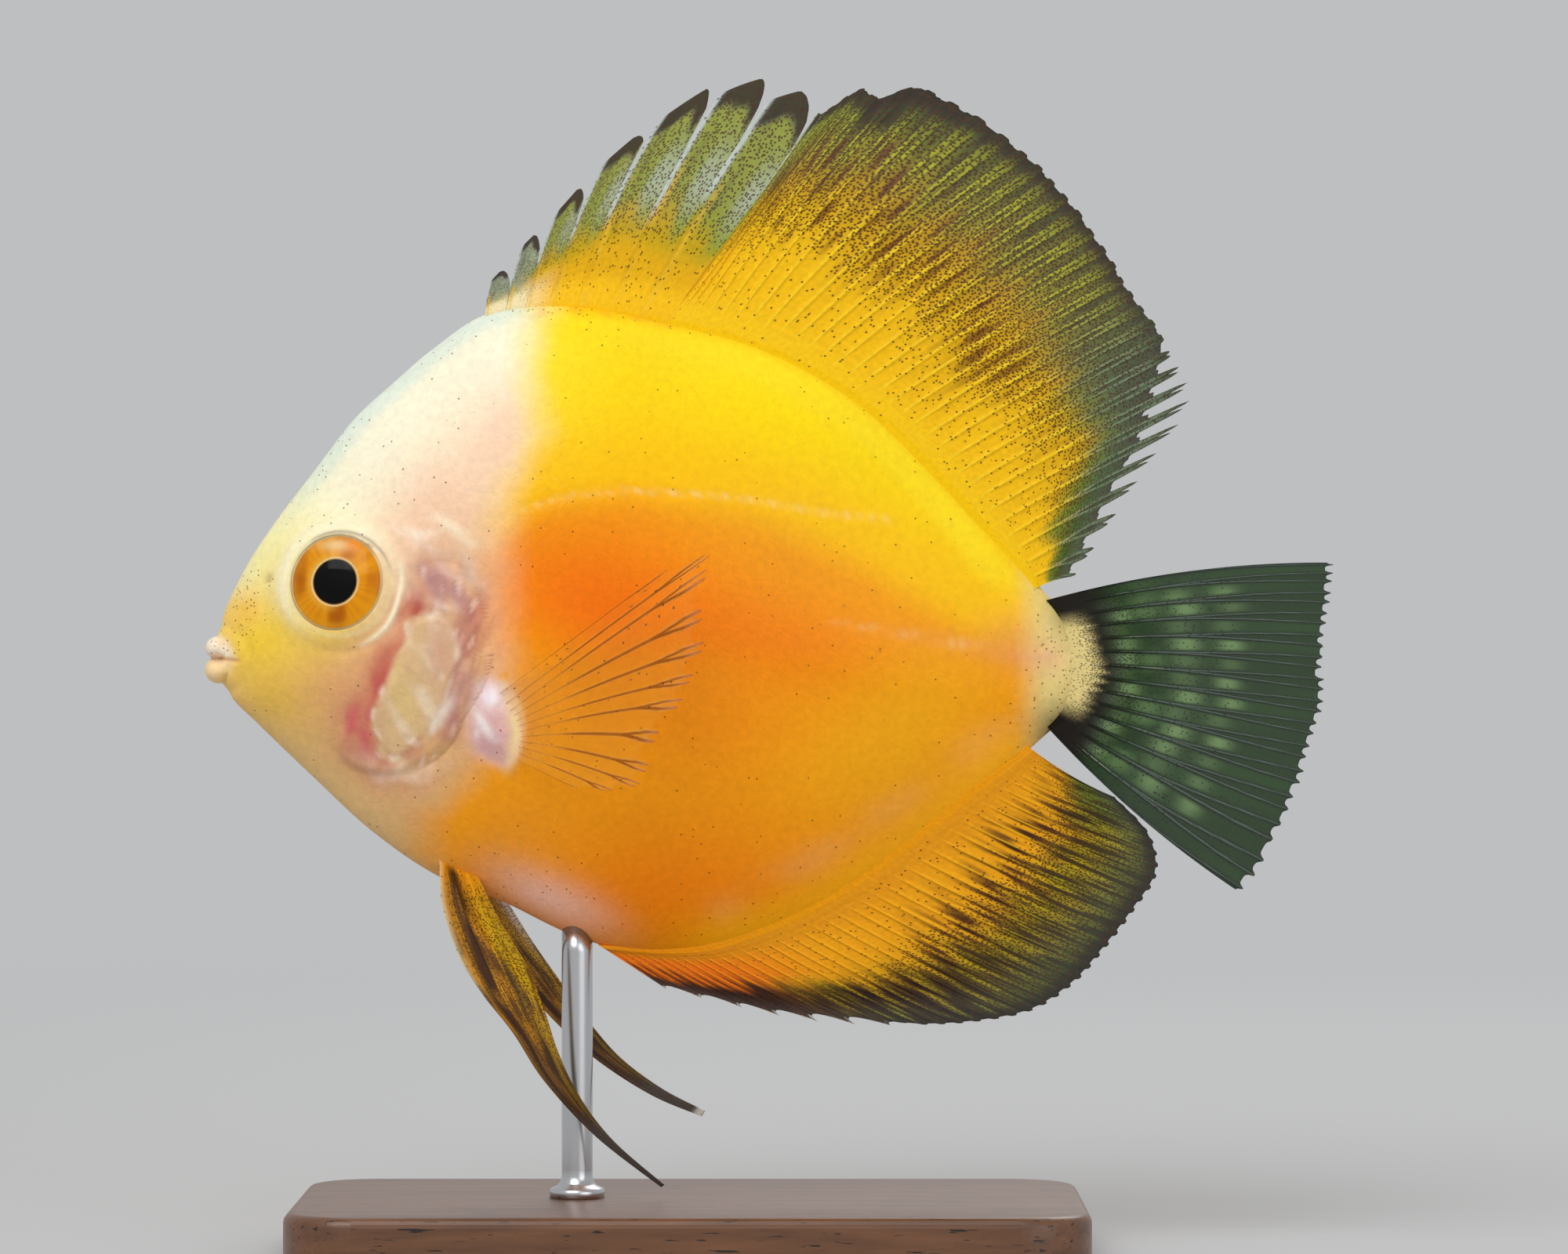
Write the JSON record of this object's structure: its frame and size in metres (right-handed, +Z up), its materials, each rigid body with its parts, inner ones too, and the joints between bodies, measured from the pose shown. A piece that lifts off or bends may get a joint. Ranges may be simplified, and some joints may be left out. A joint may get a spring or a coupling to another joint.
{
  "type": "discus fish (aquarium fish)",
  "caption": "Life-size model of a yellow discus fish swimming level, fins raised, held above a flat base by one rod.",
  "frame": {"origin": "centre of the underside of the stand's base", "axes": "+Z up; -X towards the fish's snout; -Y towards the fish's left side, which faces the viewer of the reference picture"},
  "size_m": [0.1598, 0.064, 0.1668],
  "materials": {
    "skin": "wet satin",
    "gill_plate": "wet satin",
    "fin_web": "translucent satin",
    "tail_web": "translucent satin",
    "eye": "polished",
    "base_wood": "satin lacquer",
    "rod_steel": "brushed"
  },
  "bodies": {
    "root": {"head": "skin", "torso": "skin", "tail_stalk": "skin", "gill_cover_left": "gill_plate", "gill_cover_right": "gill_plate", "eye_left": "eye", "eye_right": "eye", "dorsal_fin": "fin_web", "anal_fin": "fin_web", "caudal_fin": "tail_web", "pectoral_fin_left": "fin_web", "pectoral_fin_right": "fin_web", "pelvic_fin_left": "fin_web", "pelvic_fin_right": "fin_web", "stand_rod": "rod_steel", "stand_base": "base_wood"}
  },
  "joints": []
}
